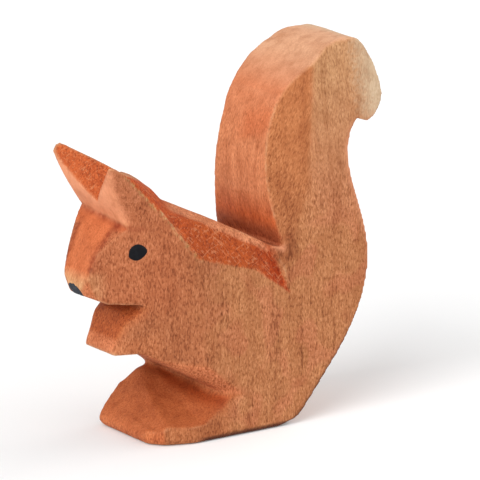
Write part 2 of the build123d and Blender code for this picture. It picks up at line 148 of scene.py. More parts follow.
# Heights that are told apart by z alone, with ends of the same two kinds
HEIGHTS = {
    "sanded_base": (1.0, 0.6),
    "off_base": (0.15, 0.6),
    "worn": (1.0, 2.0),
    "toe_hollow": (4.5, 8.7, 1.0),
    "heel": (24.0, 6.0),
    "paw_tips": (19.5, 17.5),
    "brow": (36.8, 37.6),
    "ear_front": (37.0, 39.5),
    "ear_glow": (37.5, 40.5),
    "ear_foot": (38.5, 45.5, 1.0),
    "pale_rim": (26.0, 50.0, 4.0),
    "tail_runs": (34.0, 38.5, 1.5),
    "red_patch": (48.5, 52.5, 1.2),
    "smooth_crown": (50.0, 60.0),
    "crown_corner": (60.0, 63.0),
}

# Zones that are sanded rounder than the rest, and by how much
SANDED = {
    "muzzle": 1.0,
    "toes": 1.0,
    "ears": 0.6,
    "chin": 0.8,
    "paw": 0.6,
    "tail_root": 0.7,
    "tail_crest": 0.9,
}


def smoothstep(low, high, value):
    """0 at low, 1 at high and an S curve between them."""
    share = np.clip((value - low) / (high - low), 0.0, 1.0)
    return share * share * (3.0 - 2.0 * share)


def band(low, high, soft, value):
    """1 between low and high with soft ends."""
    entering = smoothstep(low - soft, low + soft, value)
    leaving = smoothstep(high - soft, high + soft, value)
    return entering * (1.0 - leaving)


def within(ends, value):
    """How far a value is inside the ends of a zone, which are a pair or a triple."""
    if len(ends) == 2:
        return smoothstep(*ends, value)
    return band(*ends, value)


def zone(name, x, z):
    """How far each place is inside a zone of the figure, from 0 to 1."""
    x_ends, z_ends = ZONES[name]
    return within(x_ends, x) * within(z_ends, z)


def height(name, z):
    """How far each place is inside a named height of the figure, from 0 to 1."""
    return within(HEIGHTS[name], z)


def between(low, high, value):
    """A yes or no for each value."""
    return (value > low) & (value < high)


def shade(values, stops):
    """A colour for each value, blended between stops of a value and a colour."""
    places = [place for place, _ in stops]
    channels = [np.interp(values, places, [colour[k] for _, colour in stops]) for k in range(3)]
    return np.stack(channels, axis=1)


def seen_in_photo(x, y, z):
    """How far right of the middle of the photograph and above it each place is seen, in millimetres."""
    along = x - OUTLINE_SHIFT - CAMERA_TARGET.x / MM
    above = z - CAMERA_TARGET.z / MM
    right = math.cos(CAMERA_AZIMUTH) * along + math.sin(CAMERA_AZIMUTH) * y
    away = math.cos(CAMERA_AZIMUTH) * y - math.sin(CAMERA_AZIMUTH) * along
    up = math.cos(CAMERA_ELEVATION) * above + math.sin(CAMERA_ELEVATION) * away
    return right, up


class Carving:
    """The vertices of the wooden body as arrays, with their neighbours and the stain and painted shade on
    them.
    """

    def __init__(self, mesh):
        count = len(mesh.vertices)
        flat = np.zeros(count * 3)
        mesh.vertices.foreach_get("co", flat)
        self.points = flat.reshape(-1, 3)
        pairs = np.zeros(len(mesh.edges) * 2, dtype=np.int64)
        mesh.edges.foreach_get("vertices", pairs)
        pairs = pairs.reshape(-1, 2)
        self.ends = np.concatenate([pairs[:, 0], pairs[:, 1]])
        self.starts = np.concatenate([pairs[:, 1], pairs[:, 0]])
        self.degree = np.maximum(np.bincount(self.ends, minlength=count), 1)
        self.stain_and_shade = np.tile(np.array(FLANK), (count, 1))

    def around(self, values):
        """The mean of each vertex's neighbours."""
        if values.ndim == 1:
            return np.bincount(self.ends, values[self.starts], len(values)) / self.degree
        columns = [self.around(values[:, k]) for k in range(values.shape[1])]
        return np.stack(columns, axis=1)

    def soften(self, rounds, weight, push_back=0.0):
        """Rounds the form off where the weight is high; a push back keeps its size."""
        for _ in range(rounds):
            for step in (0.5, -push_back):
                pull = self.around(self.points) - self.points
                self.points += pull * (step * weight)[:, None]

    def spread(self, values, rounds):
        """Values with their borders softened."""
        for _ in range(rounds):
            values = 0.5 * values + 0.5 * self.around(values)
        return values

    def mask(self, truth, rounds):
        """A soft mask from a yes or no at each vertex."""
        return self.spread(truth.astype(float), rounds)

    def border(self, first, second, rounds, gain):
        """A mask along the line where two facets meet."""
        return np.clip(self.mask(first, rounds) * self.mask(second, rounds) * gain, 0.0, 1.0)

    def brush(self, colour, share):
        """Lays a colour over the stain and painted shade where the share is high."""
        self.stain_and_shade += (np.array(colour) - self.stain_and_shade) * share[:, None]

    def places(self):
        """x, y and z of each vertex in millimetres, in the frame of the sawn outline."""
        x = self.points[:, 0] / MM + OUTLINE_SHIFT
        return x, self.points[:, 1] / MM, self.points[:, 2] / MM

    def normals(self, mesh):
        """Puts the vertices into the mesh and returns its normals."""
        mesh.vertices.foreach_set("co", self.points.ravel())
        mesh.update()
        flat = np.zeros(len(self.points) * 3)
        mesh.vertices.foreach_get("normal", flat)
        return flat.reshape(-1, 3)


def remeshed_copy(node, name, voxel):
    """A new object with an even skin over a CAD node."""
    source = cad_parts[node]
    body = bpy.data.objects.new(name, source.data.copy())
    bpy.context.scene.collection.objects.link(body)
    remesh = body.modifiers.new("skin", "REMESH")
    remesh.mode = "VOXEL"
    remesh.voxel_size = voxel
    graph = bpy.context.evaluated_depsgraph_get()
    skin = bpy.data.meshes.new_from_object(body.evaluated_get(graph))
    body.modifiers.clear()
    body.data = skin
    body.data.materials.clear()
    return body


def facet_normals(points, node):
    """The normal of the CAD facet that lies under each point."""
    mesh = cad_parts[node].data
    vertices = [v.co.copy() for v in mesh.vertices]
    polygons = [tuple(p.vertices) for p in mesh.polygons]
    normals = np.array([p.normal[:] for p in mesh.polygons])
    tree = BVHTree.FromPolygons(vertices, polygons)
    found = [tree.find_nearest(Vector(p))[2] for p in points]
    return normals[np.array(found)]


def wobble(points, size, seed, height_share=1.0):
    """Smooth noise from -1 to 1 with features of about the given size. Heights count by their share,
    so a small share draws the features out along the grain."""
    shift = Vector((seed * 7.3, seed * 3.1, seed * 5.7))
    squeezed = points * np.array([1.0, 1.0, height_share])
    return np.array([noise.noise(Vector(p) / size + shift) for p in squeezed])


# The carved body and its facets, told apart by their normals and places. A facet's normal points across
# the board by 0 on a sawn edge and by 1 on a flank.
SIDE_ON = 0.85
EDGE_ON = 0.5
SLANTED = 0.3
body = remeshed_copy("carved_body", "squirrel_body", VOXEL)
carving = Carving(body.data)
nx, ny, nz = facet_normals(carving.points, "carved_body").T
x, y, z = carving.places()
across = np.abs(ny)
outward = ny * y > 0

leaning = (across > SLANTED) & (nz > 0.2) & between(-25.0, 9.5, x) & (z > 22.0) & outward
sides = (across > SIDE_ON) & ~leaning
tail_band = sides & (nx < -0.2) & (x > 3.0)
ear_front = (across < EDGE_ON) & (nx < -0.5) & (nz < -0.2) & (x < -18.0) & (z > 37.0)
ear_inner = ~outward & (across > SLANTED) & (z > 40.0) & (x < -12.0)
face = (across < 0.6) & (nx < -0.4) & (nz > -0.2) & (x < -18.0) & between(26.0, 40.0, z)
back_top = (across < SLANTED) & (nz > 0.5) & between(-19.0, 9.0, x) & (z > 29.0)
tail_root = (across < EDGE_ON) & between(5.0, 9.0, x) & between(30.0, 33.4, z)
tail_front = (across < EDGE_ON) & (nx < -0.1) & (x > 3.0) & (z > 32.6)
tail_top = (across < EDGE_ON) & (nz > 0.3) & (x > 9.0) & (z > 55.0)
foot_top = (nz > 0.35) & (z < 12.0) & (x < -1.0)
toe_front = (nx < -0.6) & (z < 5.0) & (x < -12.0)
foot_side = sides & (z < 6.0) & (x < -4.0)
forearm = (across < 0.8) & (nx < -0.2) & (nz > 0.1) & between(15.0, 25.5, z) & (x < -12.0)
paw_front = (across < 0.8) & (nx < -0.5) & between(14.0, 18.5, z) & (x < -18.0)
back_face = (across < EDGE_ON) & (nx > 0.2) & (x > 5.0)
underside = (across < 0.95) & (nz < -0.25) & (x < 0.0) & between(3.0, 30.0, z)

# Sanded form: every edge a little, and the broad sides until their creases fade
carving.soften(rounds=8, weight=np.ones(len(carving.points)), push_back=0.5)
inside_sides = smoothstep(0.86, 1.0, carving.mask(sides, 10))
carving.soften(rounds=220, weight=inside_sides)

# The hollow behind the toes, filled to a straight slope and most on the far side
HOLLOW_X = -9.3
HOLLOW_WIDTH = 1.9
FILL_NEAR = 0.45
FILL_FAR = 1.30
x, y, z = carving.places()
hollow_x = HOLLOW_X - smoothstep(0.0, 9.0, y)
hollow = np.exp(-((x - hollow_x) / HOLLOW_WIDTH) ** 2) * smoothstep(-9.5, -6.0, y)
fill = FILL_NEAR + (FILL_FAR - FILL_NEAR) * smoothstep(0.0, 8.0, y)
carving.points[:, 2] += fill * hollow * height("toe_hollow", z) * MM

# Rounder still: the sanded zones, then the gap above the foot, the near ear, the arms and the base
GAP_Z = 15.0
GAP_X = -18.0
GAP_FALL = 0.58
x, y, z = carving.places()
from_middle = np.abs(y)
root_zone = zone("tail_root", x, z)
sanded = sum(share * zone(name, x, z) for name, share in SANDED.items())
above_gap = z - GAP_Z + GAP_FALL * (x - GAP_X)
gap = band(GAP_X, -2.0, 1.5, x) * band(-4.5, 3.5, 1.2, above_gap) * smoothstep(2.0, 6.0, from_middle)
ear_side = zone("ear_side", x, z) * smoothstep(3.0, 5.0, -y) * ~ear_inner
ear_foot = ear_side * height("ear_foot", z)
arm = zone("arm", x, z) * smoothstep(2.5, 4.5, from_middle) * ~underside
base_edge = height("sanded_base", z)
worn_round = gap + 0.9 * ear_side + 0.8 * arm + 0.5 * base_edge
carving.soften(rounds=30, weight=np.clip(sanded, 0.0, 1.0), push_back=0.46)
carving.soften(rounds=60, weight=np.clip(worn_round, 0.0, 1.0))
carving.soften(rounds=90, weight=0.9 * ear_foot)

# The far edge of the tail's crown, brought to an even curve around the middle of the crown. Its reach is
# read at even steps of the turn, in degrees, and evened over a few steps.
CROWN_X = 16.0
CROWN_Z = 52.0
TURN_STEP = 4.0
EVENED_STEPS = 2.5
KERNEL_STEPS = 7
RIM_LIFT = 0.2
x, y, z = carving.places()
turn = np.degrees(np.arctan2(z - CROWN_Z, x - CROWN_X))
reach = np.hypot(x - CROWN_X, z - CROWN_Z)
steps = np.arange(30.0, 178.0, TURN_STEP)
far_side = (y > 3.0) & (x > 3.0) & (z > 45.0)
rim = np.array([reach[far_side & (np.abs(turn - step) < TURN_STEP / 2)].max() for step in steps])
kernel = np.exp(-0.5 * (np.arange(-KERNEL_STEPS, KERNEL_STEPS + 1) / EVENED_STEPS) ** 2)
padded_rim = np.pad(rim, KERNEL_STEPS, "reflect", reflect_type="odd")
even_rim = np.convolve(padded_rim, kernel / kernel.sum(), "valid")
near_rim = smoothstep(0.75, 0.95, reach / np.interp(turn, steps, rim)) * smoothstep(-1.0, 5.0, y)
near_rim *= band(34.0, 175.0, 8.0, turn) * zone("far_rim", x, z)
shift = (np.interp(turn, steps, even_rim - rim) + RIM_LIFT) * near_rim * MM
carving.points[:, 0] += shift * np.cos(np.radians(turn))
carving.points[:, 2] += shift * np.sin(np.radians(turn))

# The far corner of the crown, filled out to the arc that the photograph shows
ARC_TOP = FIGURE_TOP + 0.05
ARC_X = 23.5
ARC_FALL = 0.12
x, y, z = carving.places()
arc = ARC_TOP - ARC_FALL * np.maximum(x - ARC_X, 0.0) ** 2
fuller = smoothstep(20.5, 25.0, x) * smoothstep(28.5, 26.5, x) * height("crown_corner", z)
fuller *= smoothstep(-9.0, 4.0, y) * smoothstep(9.0, 6.5, y)
carving.points[:, 2] += fuller * np.maximum(arc - z, 0.0) * MM

# Knife marks: shallow hollows drawn out along the grain, and none on the base
LONG_MARK_DEPTH = 0.07 * MM
FINE_MARK_DEPTH = 0.02 * MM
x, y, z = carving.places()
normals = carving.normals(body.data)
long_marks = wobble(carving.points, 4.5 * MM, seed=1, height_share=0.55)
fine_marks = wobble(carving.points, 1.3 * MM, seed=2, height_share=0.4)
depth = (LONG_MARK_DEPTH * long_marks + FINE_MARK_DEPTH * fine_marks) * height("off_base", z)
carving.points += normals * depth[:, None]
carving.points[:, 2] = np.maximum(carving.points[:, 2], 0.0)
normals = carving.normals(body.data)

# Stain on the flanks, paws and head, and on the forearm painted shade from the head above it
x, y, z = carving.places()
from_middle = np.abs(y)
side_mask = carving.mask(sides, 2)
cloud = wobble(carving.points, 3.0 * MM, seed=3)
salmon_patches = smoothstep(0.0, 0.35, wobble(carving.points, 4.0 * MM, seed=8))
carving.brush(SALMON, 0.6 * side_mask * salmon_patches)
carving.brush(BELLY, side_mask * zone("belly", x + 2.0 * cloud, z))
carving.brush(CHEEK, side_mask * zone("cheek", x, z))
carving.brush(PAW, carving.mask(underside, 4))
# Darker stain on the forearm's front, deepened with painted shade from the head above it
carving.brush(FOREARM_STAIN_AND_SHADE, carving.mask(forearm, 20))
carving.brush(PAW, carving.mask(paw_front, 4) * height("paw_tips", z))
carving.brush(PAW_SIDE, side_mask * zone("paw_side", x, z))

# The face is narrow above and wide at the muzzle, and reaches right across below the brow
MUZZLE_Z = 28.5
MUZZLE_HALF = 5.0
FACE_Z = 30.8
FACE_HALF = 3.8
face_half = np.interp(z, [MUZZLE_Z, FACE_Z], [MUZZLE_HALF, FACE_HALF])
cheek_edge = from_middle - face_half + 0.5 * cloud
below_brow = height("brow", z)
face_mask = carving.mask(face, 6) * np.maximum(1.0 - smoothstep(-0.6, 0.8, cheek_edge), below_brow)
carving.brush(CHEEK, carving.mask(face, 6))
carving.brush(shade(z, [(28.0, MUZZLE), (30.5, FACE)]), face_mask)
carving.brush(MUZZLE, 0.38 * side_mask * zone("muzzle_side", x + 0.5 * cloud, z))

# The pale front of each ear fades out over its side, and its hollow is red
ear_glow = carving.mask(ear_front, 40) ** 0.6
ear_edge = np.clip(carving.mask(ear_front, 16) + 0.3 * cloud, 0.0, 1.0)
carving.brush(EAR_FRONT, 0.85 * ear_glow * height("ear_glow", z))
carving.brush(EAR_FRONT, ear_edge * height("ear_front", z))
carving.brush(EAR_INNER, carving.mask(ear_inner, 1))

# Stain on the feet, and painted shade with some pooled stain along the crease above them. Its places
# are given as they are seen in the photograph, right of the middle and above it.
CREASE_PLACES = [(-15.2, -20.7), (-11.5, -23.0), (-8.5, -24.7), (-5.4, -26.1), (-1.4, -26.6)]
CREASE_ENDS = (-14.0, -2.2, 1.0)
carving.brush(FOOT_SIDE, carving.mask(foot_side, 8))
carving.brush(shade(z, [(1.0, FOOT_FRONT), (4.5, FOOT_TOP)]), carving.mask(foot_top | toe_front, 5))
seen_right, seen_up = seen_in_photo(x, y, z)
crease_rights, crease_ups = zip(*CREASE_PLACES)
above_crease = seen_up - np.interp(seen_right, crease_rights, crease_ups) + 0.3 * cloud
crease_shade_and_stain = smoothstep(-3.2, -0.4, above_crease) * (1.0 - smoothstep(-0.1, 0.9, above_crease))
crease_shade_and_stain *= within(CREASE_ENDS, seen_right) * smoothstep(6.5, 4.0, y) * zone("foot_crease", x, z)
# Painted shade under the flank's edge, with some pooled stain, along the crease
carving.brush(FOOT_CREASE_SHADE_AND_STAIN, 0.85 * crease_shade_and_stain)
# A painted shadow line along the bottom edge, from behind the toes to the heel
carving.brush(BASE_SHADOW_LINE, 0.9 * zone("base_shadow_line", x, z))

# Stain on the tail: a darker band in front of its side, a front that pales towards the crown, and painted
# shade with pooled stain at its root
front_stops = [
    (33.4, TAIL_ROOT_SHADE_AND_STAIN),
    (35.2, TAIL_FRONT_LOW),
    (40.0, TAIL_FRONT_MIDDLE),
    (48.0, TAIL_FRONT_MIDDLE),
    (57.0, TAIL_FRONT_HIGH),
    (62.5, TAIL_CROWN),
]
band_mask = carving.mask(tail_band, 6)
front_mask = carving.mask(tail_front, 2)
side_share = side_mask * zone("tail_side", x, z) * (1.0 - band_mask)
carving.brush(shade(z, [(30.0, TAIL_BAND_LOW), (52.0, TAIL_BAND_HIGH)]), band_mask)
carving.brush(shade(z, [(38.0, TAIL_SIDE_LOW), (60.0, TAIL_SIDE_HIGH)]), side_share)
carving.brush(shade(z, front_stops), carving.mask(tail_front | tail_top, 2))
red_patch = band(-7.5, 1.5, 2.5, y + 1.5 * cloud) * height("red_patch", z + 0.3 * y + cloud)
carving.brush(TAIL_FRONT_LOW, 0.55 * red_patch * front_mask)
# Painted shade with pooled stain at the root of the tail's front
carving.brush(TAIL_ROOT_SHADE_AND_STAIN, carving.mask(tail_root, 3))

# Stain on the back: red along the slants, and paler on the flat top, whose height falls towards the tail
BACK_X = -12.5
BACK_Z = 40.9
BACK_FALL = 0.51
back_stops = [(-16.0, NAPE), (-9.0, SADDLE), (1.0, SADDLE), (6.0, SADDLE_END)]
slant_mask = carving.mask(leaning, 1)
carving.brush(shade(x, back_stops), slant_mask)
below_back = BACK_Z - BACK_FALL * (x - BACK_X) - z
back_line = band(-13.0, 5.0, 2.0, x) * (1.0 - smoothstep(1.1, 1.7, below_back + 0.25 * cloud))
carving.brush(BACK_TOP, np.maximum(carving.mask(back_top, 2), back_line * slant_mask))

# The recess where the back meets the tail, in painted shade with pooled stain, the runs of stain above
# it, and the bare tip of the tail
carving.brush(TAIL_ROOT_SHADE_AND_STAIN, 0.85 * zone("tail_recess", x, z) * (1.0 - 0.6 * side_mask))
carving.brush(TAIL_BAND_LOW, 0.85 * zone("recess_end", x, z) * smoothstep(8.6, 9.4, from_middle))
runs = smoothstep(0.0, 0.3, wobble(carving.points, 0.8 * MM, seed=7, height_share=0.25))
carving.brush(RED_STAIN_AND_SHADE, 0.25 * runs * front_mask * height("tail_runs", z + cloud))
ragged = 0.8 * cloud + 2.0 * wobble(carving.points, 0.45 * MM, seed=6)
tip_share = zone("tail_tip", x + 0.12 * (z - 55.0) + ragged, z)
carving.brush(TAIL_TIP, tip_share)

# Along the back edge: rubbed pale higher up, and a painted shadow line low around the heel
back_edge = carving.border(back_face, sides, rounds=12, gain=4.5)
pale_rim = back_edge * height("pale_rim", z)
carving.brush(BACK_RIM, 0.9 * pale_rim)
carving.brush(BASE_SHADOW_LINE, 0.9 * back_edge ** 2 * height("heel", z))

# Red blotches where the face meets the cheek and in the brow crease, and at the crease's end red stain
# with painted shade under the ear
BROW_Z = 38.6
BROW_LEAN = 0.138
BROW_END = (-22.1, 4.3, 37.5)
blotches = 0.55 + 0.45 * smoothstep(-0.1, 0.3, wobble(carving.points, 0.6 * MM, seed=4))
edge_of_face = band(-0.7, 0.5, 0.5, cheek_edge) * zone("face_edge", x, z)
carving.brush(RED_STAIN_AND_SHADE, 0.75 * edge_of_face * blotches)
brow_line = band(-0.5, 0.4, 0.35, z - BROW_Z - BROW_LEAN * y) * smoothstep(-18.0, -19.5, x)
carving.brush(RED_STAIN_AND_SHADE, 0.7 * brow_line * blotches)
from_brow_end = np.linalg.norm(np.stack([x, from_middle, z], axis=1) - np.array(BROW_END), axis=1)
# Painted shade under the ear with red stain, at the end of the brow crease
carving.brush(RED_STAIN_AND_SHADE, blotches * (1.0 - smoothstep(0.4, 1.5, from_brow_end + 0.5 * cloud)))

# A broken olive line along the nape
nape_edge = carving.border(leaning, sides, rounds=5, gain=4.0)
broken = smoothstep(-0.1, 0.2, wobble(carving.points, 0.5 * MM, seed=5))
carving.brush(OLIVE, 0.8 * nape_edge * broken * smoothstep(-8.0, -11.0, x))

# Worn edges, and pooled stain with painted shade in hollows, read from how far the skin bulges or sinks
# in millimetres
average = carving.spread(carving.points, 5)
bulge = np.einsum("ij,ij->i", carving.points - average, normals) / MM
unworn = carving.mask(face | ear_front | foot_top | forearm, 12)
wear = 0.8 * smoothstep(0.03, 0.10, bulge) * height("worn", z) * (1.0 - back_edge)
wear *= (1.0 - unworn) * (1.0 - root_zone)
pooled_and_shaded = carving.spread(smoothstep(0.03, 0.12, -bulge), 4) * (1.0 - 0.8 * gap)

# How open the grain is: less where the knife left a smooth cut
smooth_cut = carving.mask(ear_front, 50) ** 0.6 + 0.5 * face_mask + 0.4 * carving.mask(foot_top, 6)
smooth_cut += 0.7 * pale_rim + 0.35 * side_mask * zone("upper_tail", x, z) + 0.35 * tip_share
smooth_cut += carving.mask(tail_front | tail_top, 4) * (0.35 + 0.4 * height("smooth_crown", z))
open_grain = 1.0 - np.clip(smooth_cut, 0.0, 0.85)

MASKS = {
    "wear": wear,
    "pooled_and_shaded": pooled_and_shaded,
    "end_grain": carving.mask(leaning | ear_inner, 1),
    "open_grain": open_grain,
    "lines": open_grain * (0.5 + 0.4 * zone("lower_flank", x, z)),
    "slanted": carving.mask(tail_band, 4),
}
for name, values in MASKS.items():
    layer = body.data.attributes.new(name, "FLOAT", "POINT")
    layer.data.foreach_set("value", values.astype(np.float32))
stain_and_shade_layer = body.data.attributes.new("stain_and_shade", "FLOAT_COLOR", "POINT")
opaque = np.ones((len(carving.stain_and_shade), 1))
stain_and_shade_layer.data.foreach_set("color", np.hstack([carving.stain_and_shade, opaque]).astype(np.float32).ravel())
body.data.shade_smooth()


# Materials
class Nodes:
    """A short way to write a node tree. Scales of noise are in features per metre."""

    def __init__(self, name):
        self.material = bpy.data.materials.new(name)
        self.material.use_nodes = True
        self.tree = self.material.node_tree
        self.shader = self.tree.nodes["Principled BSDF"]

    def add(self, kind, **settings):
        node = self.tree.nodes.new(kind)
        for key, value in settings.items():
            setattr(node, key, value)
        return node

    def link(self, source, target):
        self.tree.links.new(source, target)

    def set(self, **values):
        """Sets sockets of the shader, named with low lines for spaces."""
        for name, value in values.items():
            self.shader.inputs[name.replace("_", " ")].default_value = value

    def attribute(self, name):
        return self.add("ShaderNodeAttribute", attribute_name=name).outputs["Fac"]

    def place(self, drawn_out=1.0, lean=0.0, shift=0.0):
        """Object coordinates for a pattern drawn out along the grain, which may lean back."""
        coordinates = self.add("ShaderNodeTexCoord").outputs["Object"]
        mapping = self.add("ShaderNodeMapping", vector_type="TEXTURE")
        mapping.inputs["Location"].default_value = (shift, shift, shift)
        mapping.inputs["Rotation"].default_value = (0.0, math.radians(lean), 0.0)
        mapping.inputs["Scale"].default_value = (1.0, 1.0, drawn_out)
        self.link(coordinates, mapping.inputs["Vector"])
        return mapping.outputs["Vector"]

    def noise(self, place, scale, detail=2.0, roughness=0.5):
        texture = self.add("ShaderNodeTexNoise")
        texture.inputs["Scale"].default_value = scale
        texture.inputs["Detail"].default_value = detail
        texture.inputs["Roughness"].default_value = roughness
        self.link(place, texture.inputs["Vector"])
        return texture.outputs["Fac"]

    def ramp(self, value, low, high, most=1.0):
        """0 below low and the most above high, with an S curve between them."""
        node = self.add("ShaderNodeMapRange", interpolation_type="SMOOTHSTEP")
        node.inputs["From Min"].default_value = low
        node.inputs["From Max"].default_value = high
        node.inputs["To Max"].default_value = most
        self.link(value, node.inputs["Value"])
        return node.outputs["Result"]

    def math(self, operation, first, second):
        node = self.add("ShaderNodeMath", operation=operation)
        for socket, value in zip(node.inputs, (first, second)):
            if isinstance(value, (int, float)):
                socket.default_value = value
            else:
                self.link(value, socket)
        return node.outputs["Value"]

    def product(self, first, second):
        return self.math("MULTIPLY", first, second)

    def mix(self, share, first, second, blend="MIX"):
        node = self.add("ShaderNodeMix", data_type="RGBA", blend_type=blend)
        sockets = (node.inputs[0], node.inputs[6], node.inputs[7])
        for socket, value in zip(sockets, (share, first, second)):
            if isinstance(value, tuple):
                socket.default_value = (*value, 1.0)
            else:
                self.link(value, socket)
        return node.outputs[2]

    def tint(self, share, colour, factor):
        """The colour times a factor where the share is high."""
        return self.mix(share, colour, factor, "MULTIPLY")

    def bump(self, relief, strength, distance):
        node = self.add("ShaderNodeBump")
        node.inputs["Strength"].default_value = strength
        node.inputs["Distance"].default_value = distance
        self.link(relief, node.inputs["Height"])
        self.link(node.outputs["Normal"], self.shader.inputs["Normal"])


def stained_wood():
    """Thin stain over upright grain, with dark and pale fibres, worn edges, pooled stain with painted
    shade in hollows, and hairs on end grain.
    """
    wood = Nodes("stained_wood")
    slanted = wood.attribute("slanted")
    end_grain = wood.attribute("end_grain")
    open_grain = wood.attribute("open_grain")
    slant = 24.0

    def fibres(scale, drawn_out, shift):
        """Noise along the grain, which leans back on the slanted facets."""
        upright = wood.noise(wood.place(drawn_out, 0.0, shift), scale)
        leaning_back = wood.noise(wood.place(drawn_out, slant, shift), scale)
        step = wood.math("SUBTRACT", leaning_back, upright)
        return wood.math("ADD", upright, wood.product(step, slanted))

    # Broad clouds and streaks
    colour = wood.add("ShaderNodeAttribute", attribute_name="stain_and_shade").outputs["Color"]
    clouds = wood.noise(wood.place(), scale=330.0, detail=3.0)
    colour = wood.tint(wood.ramp(clouds, low=0.40, high=0.68, most=0.55), colour, DEEPER)
    streaks = wood.noise(wood.place(drawn_out=14.0), scale=620.0)
    colour = wood.tint(wood.ramp(streaks, low=0.46, high=0.66, most=0.50), colour, DEEPER)

    # Fine lines, broken into dashes
    threads = wood.noise(wood.place(drawn_out=24.0, shift=0.2), scale=1500.0, detail=1.0)
    dashes = wood.noise(wood.place(drawn_out=3.0, shift=0.8), scale=2600.0, detail=1.0)
    dashed = wood.product(wood.ramp(threads, low=0.54, high=0.68), wood.ramp(dashes, low=0.44, high=0.62))
    colour = wood.tint(wood.product(dashed, wood.attribute("lines")), colour, DARK_FIBRE)

    # Dark and pale fibres, and pores
    dark_field = fibres(scale=3900.0, drawn_out=2.5, shift=0.0)
    pale_field = fibres(scale=3500.0, drawn_out=2.2, shift=0.3)
    pore_field = fibres(scale=1900.0, drawn_out=3.0, shift=0.6)
    dark = wood.ramp(dark_field, low=0.47, high=0.66, most=0.86)
    pale = wood.ramp(pale_field, low=0.47, high=0.66, most=0.86)
    pores = wood.ramp(pore_field, low=0.60, high=0.70, most=0.50)
    for share, factor in ((dark, DARK_FIBRE), (pale, PALE_FIBRE), (pores, DARK_FIBRE)):
        colour = wood.tint(wood.product(share, open_grain), colour, factor)

    # Hairs that cross on cut end grain
    for lean, shift in ((62.0, 0.5), (-38.0, 0.9)):
        hairs = wood.noise(wood.place(drawn_out=10.0, lean=lean, shift=shift), scale=3000.0, detail=1.0)
        crossed = wood.ramp(hairs, low=0.58, high=0.70, most=0.33)
        colour = wood.mix(wood.product(crossed, end_grain), colour, HAIR)

    # Worn edges, and pooled stain with painted shade in hollows
    grain = wood.noise(wood.place(drawn_out=3.0), scale=1500.0, detail=3.0, roughness=0.6)
    worn = wood.product(wood.attribute("wear"), wood.ramp(grain, low=0.32, high=0.58, most=0.80))
    colour = wood.mix(worn, colour, WORN)
    colour = wood.mix(wood.product(wood.attribute("pooled_and_shaded"), 0.75), colour, POOLED_STAIN_AND_SHADE)
    wood.link(colour, wood.shader.inputs["Base Color"])

    # A matt surface with a fine relief
    wood.set(Specular_IOR_Level=0.20)
    rough = wood.add("ShaderNodeMapRange")
    rough.inputs["To Min"].default_value = 0.58
    rough.inputs["To Max"].default_value = 0.82
    wood.link(grain, rough.inputs["Value"])
    wood.link(rough.outputs["Result"], wood.shader.inputs["Roughness"])
    relief = wood.math("ADD", grain, wood.product(dark_field, -0.8))
    wood.bump(relief, strength=0.45, distance=0.12 * MM)
    return wood.material


def dabbed_paint(name, colour, streak_colour, roughness):
    """Paint with faint brush streaks."""
    paint = Nodes(name)
    streaks = paint.noise(paint.place(), scale=1400.0, detail=3.0, roughness=0.6)
    share = paint.ramp(streaks, low=0.45, high=0.75, most=0.6)
    paint.link(paint.mix(share, colour, streak_colour), paint.shader.inputs["Base Color"])
    paint.set(Roughness=roughness, Specular_IOR_Level=0.12)
    paint.bump(streaks, strength=0.25, distance=0.05 * MM)
    return paint.material


body.data.materials.append(stained_wood())
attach(body, "root")
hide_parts("carved_body")

# Painted dabs, each a thin pad that follows the carved skin
skin = BVHTree.FromObject(body, bpy.context.evaluated_depsgraph_get())
PAD_RINGS = 7
PAD_SPOKES = 48
PAD_SUNK = 0.15 * MM
RAY_START = 6 * MM


def closed_curve(knots):
    """The radius of a closed curve at any angle, through knots of an angle and a radius."""
    angles = [math.radians(angle) for angle, _ in knots] + [math.radians(knots[0][0]) + 2 * math.pi]
    radii = [radius for _, radius in knots] + [knots[0][1]]

    def radius(angle):
        turn = (angle - angles[0]) % (2 * math.pi) + angles[0]
        k = min(np.searchsorted(angles, turn, side="right"), len(knots)) - 1
        share = smoothstep(angles[k], angles[k + 1], turn)
        return (radii[k] + (radii[k + 1] - radii[k]) * share) * MM

    return radius


def dab(name, centre, right, outline, thickness, material, node):
    """A pad of paint inside an outline in an upright plane, laid straight back onto the skin."""
    up = Vector((0.0, 0.0, 1.0))
    forward = right.cross(up)

    def on_skin(angle, share):
        """A place on the pad: level in the middle, and just under the skin at the edge."""
        reach = outline(angle) * share
        start = centre + right * (reach * math.cos(angle)) + up * (reach * math.sin(angle))
        place, normal, _, _ = skin.ray_cast(start + forward * RAY_START, -forward)
        rise = thickness * (1.0 - share ** 4) - PAD_SUNK * share ** 12
        return place + normal * rise

    vertices = [on_skin(0.0, 0.0)]
    for ring in range(1, PAD_RINGS + 1):
        for spoke in range(PAD_SPOKES):
            vertices.append(on_skin(2 * math.pi * spoke / PAD_SPOKES, ring / PAD_RINGS))
    rim = len(vertices) - PAD_SPOKES
    vertices += [vertex - forward * PAD_SUNK for vertex in vertices[rim:]]

    following = [(k, (k + 1) % PAD_SPOKES) for k in range(PAD_SPOKES)]
    faces = [(0, 1 + k, 1 + j) for k, j in following]
    for ring in range(PAD_RINGS):
        inner = 1 + ring * PAD_SPOKES
        outer = inner + PAD_SPOKES
        faces += [(inner + k, outer + k, outer + j, inner + j) for k, j in following]
    faces.append(tuple(rim + PAD_SPOKES + k for k in reversed(range(PAD_SPOKES))))

    mesh = bpy.data.meshes.new(name)
    mesh.from_pydata([v[:] for v in vertices], [], faces)
    mesh.shade_smooth()
    mesh.materials.append(material)
    pad = bpy.data.objects.new(name, mesh)
    bpy.context.scene.collection.objects.link(pad)
    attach(pad, "root")
    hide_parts(node)


def point(px, py, pz):
    """A place on the figure, from the frame of the sawn outline."""
    return Vector(((px - OUTLINE_SHIFT) * MM, py * MM, pz * MM))


